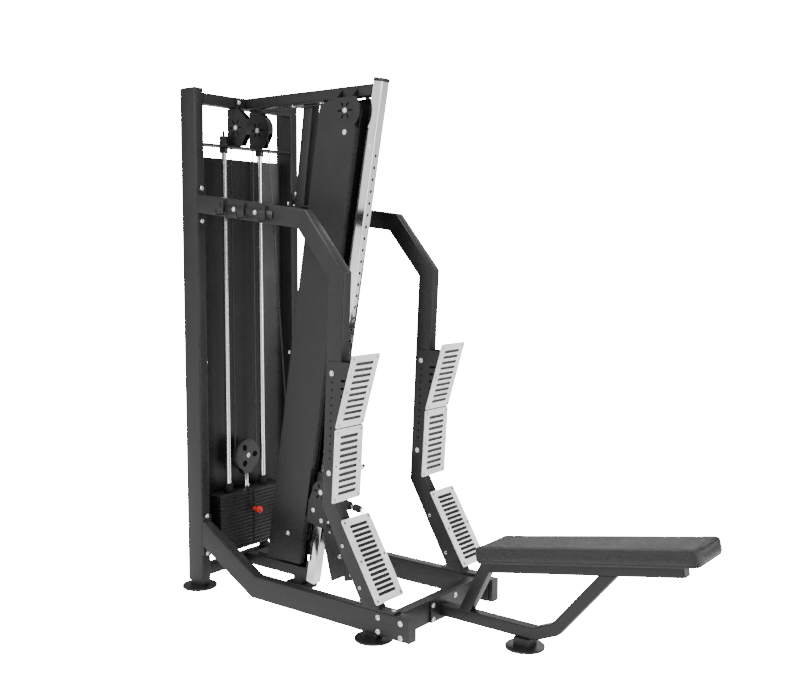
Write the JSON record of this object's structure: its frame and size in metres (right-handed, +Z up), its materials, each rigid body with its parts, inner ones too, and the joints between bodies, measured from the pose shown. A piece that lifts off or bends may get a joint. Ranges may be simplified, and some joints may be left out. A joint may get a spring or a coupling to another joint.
{
  "type": "seated cable row machine",
  "caption": "Adjustable-pulley seated cable row machine: weight stack tower, leaning pulley column, slotted foot plates at three heights and an inclined bench seat.",
  "frame": {"origin": "on the floor under the middle of the bounding box", "axes": "+X from the weight stack towards the seat, +Y to the far side, +Z up"},
  "size_m": [2.4124, 0.786, 2.2998],
  "materials": {
    "black_paint": "satin black powder coat",
    "silver_paint": "light silver satin coat",
    "chrome": "polished chrome plate",
    "black_iron": "matt black painted iron",
    "black_plastic": "moulded black nylon",
    "black_rubber": "matt black rubber",
    "red_plastic": "glossy red plastic",
    "upholstery": "textured black upholstery",
    "cable_coat": "smooth black cable coat"
  },
  "bodies": {
    "frame": {"arm_crossbar": "black_paint", "base_crossbeam": "black_paint", "boom_strut": "black_paint", "centre_floor_rail": "black_paint", "centre_foot": "black_rubber", "drive_cable": "cable_coat", "far_cable_cover": "black_paint", "far_floor_rail": "black_paint", "far_foot_bracket": "black_paint", "far_front_foot": "black_rubber", "far_guide_rod": "chrome", "far_lower_bracket": "black_paint", "far_lower_foot_plate": "silver_paint", "far_middle_foot_plate": "silver_paint", "far_rear_foot": "black_rubber", "far_side_frame": "black_paint", "far_top_pulley_housing": "black_paint", "far_upper_foot_plate": "silver_paint", "far_upright": "black_paint", "front_crossbeam": "black_paint", "guide_rod_plate": "black_paint", "hook_rail": "black_paint", "near_cable_cover": "black_paint", "near_floor_rail": "black_paint", "near_foot_bracket": "black_paint", "near_front_foot": "black_rubber", "near_guide_rod": "chrome", "near_lower_bracket": "black_paint", "near_lower_foot_plate": "silver_paint", "near_middle_foot_plate": "silver_paint", "near_rear_foot": "black_rubber", "near_side_frame": "black_paint", "near_top_pulley_housing": "black_paint", "near_upper_foot_plate": "silver_paint", "near_upright": "black_paint", "pulley_column": "chrome", "rear_shroud": "black_paint", "resting_weight_plates": "black_iron", "seat_foot": "black_rubber", "seat_frame": "black_paint", "seat_pad": "upholstery", "top_boom": "black_paint", "top_crossbeam": "black_paint"},
    "lift": {"lift_pulley_block": "black_plastic", "lifted_weight_plates": "black_iron", "pin_lanyard": "cable_coat", "selector_rod": "chrome", "stack_cable": "cable_coat"},
    "carriage": {"cable_stop": "black_rubber", "carriage": "black_paint"},
    "lift_pulley": {"lift_pulley": "black_plastic"},
    "selector_pin": {"selector_pin": "red_plastic"},
    "near_top_pulley": {"near_top_pulley": "black_plastic"},
    "far_top_pulley": {"far_top_pulley": "black_plastic"},
    "front_pulley": {"front_pulley": "black_plastic"},
    "bottom_pulley": {"bottom_pulley": "black_plastic"},
    "carriage_pulley": {"carriage_pulley": "black_plastic"},
    "pop_pin": {"pop_pin": "chrome"},
    "swivel": {"swivel_block": "black_plastic"},
    "swivel_pulley": {"swivel_pulley": "black_plastic"}
  },
  "joints": [
    {"name": "stack_lift", "type": "slide", "parent": "frame", "child": "lift", "axis": [0, 0, 1], "range_m": [0, 1.2], "deforming": ["stack_cable"]},
    {"name": "selector_pin_slide", "type": "slide", "parent": "lift", "child": "selector_pin", "axis": [1, 0, 0], "range_m": [0, 0.09]},
    {"name": "lift_pulley_spin", "type": "hinge", "parent": "lift", "child": "lift_pulley", "pos_m": [-1.1264, 0, 0.578], "axis": [1, 0, 0], "continuous": true},
    {"name": "near_top_pulley_spin", "type": "hinge", "parent": "frame", "child": "near_top_pulley", "pos_m": [-1.0764, -0.07, 2.135], "axis": [0, 1, 0], "continuous": true},
    {"name": "front_pulley_spin", "type": "hinge", "parent": "frame", "child": "front_pulley", "pos_m": [-0.4284, -0.02, 2.166], "axis": [0, 1, 0], "continuous": true},
    {"name": "far_top_pulley_spin", "type": "hinge", "parent": "frame", "child": "far_top_pulley", "pos_m": [-1.0764, 0.07, 2.135], "axis": [0, 1, 0], "continuous": true},
    {"name": "bottom_pulley_spin", "type": "hinge", "parent": "frame", "child": "bottom_pulley", "pos_m": [-0.7764, 0.02, 0.262], "axis": [0, 1, 0], "continuous": true},
    {"name": "carriage_slide", "type": "slide", "parent": "frame", "child": "carriage", "axis": [0.1771, 0, 0.9842], "range_m": [0, 1.45]},
    {"name": "carriage_pulley_spin", "type": "hinge", "parent": "carriage", "child": "carriage_pulley", "pos_m": [-0.57373, -0.052, 0.48679], "axis": [0, 1, 0], "continuous": true},
    {"name": "pop_pin_pull", "type": "slide", "parent": "carriage", "child": "pop_pin", "axis": [0.9842, 0, -0.1771], "range_m": [0, 0.014], "stiffness_N_per_m": 1500, "springref_m": -0.01},
    {"name": "swivel_turn", "type": "hinge", "parent": "carriage", "child": "swivel", "pos_m": [-0.56968, 0, 0.32857], "axis": [0.1771, 0, 0.9842], "range_deg": [-75, 75]},
    {"name": "swivel_pulley_spin", "type": "hinge", "parent": "swivel", "child": "swivel_pulley", "pos_m": [-0.50486, 0, 0.19193], "axis": [0, 1, 0], "continuous": true}
  ],
  "couplings": [
    {"joint": "lift_pulley_spin", "follows": "stack_lift", "rad_per_m": 14.286},
    {"joint": "near_top_pulley_spin", "follows": "stack_lift", "rad_per_m": 40},
    {"joint": "front_pulley_spin", "follows": "stack_lift", "rad_per_m": 40},
    {"joint": "far_top_pulley_spin", "follows": "carriage_slide", "rad_per_m": -20},
    {"joint": "bottom_pulley_spin", "follows": "carriage_slide", "rad_per_m": 20}
  ]
}
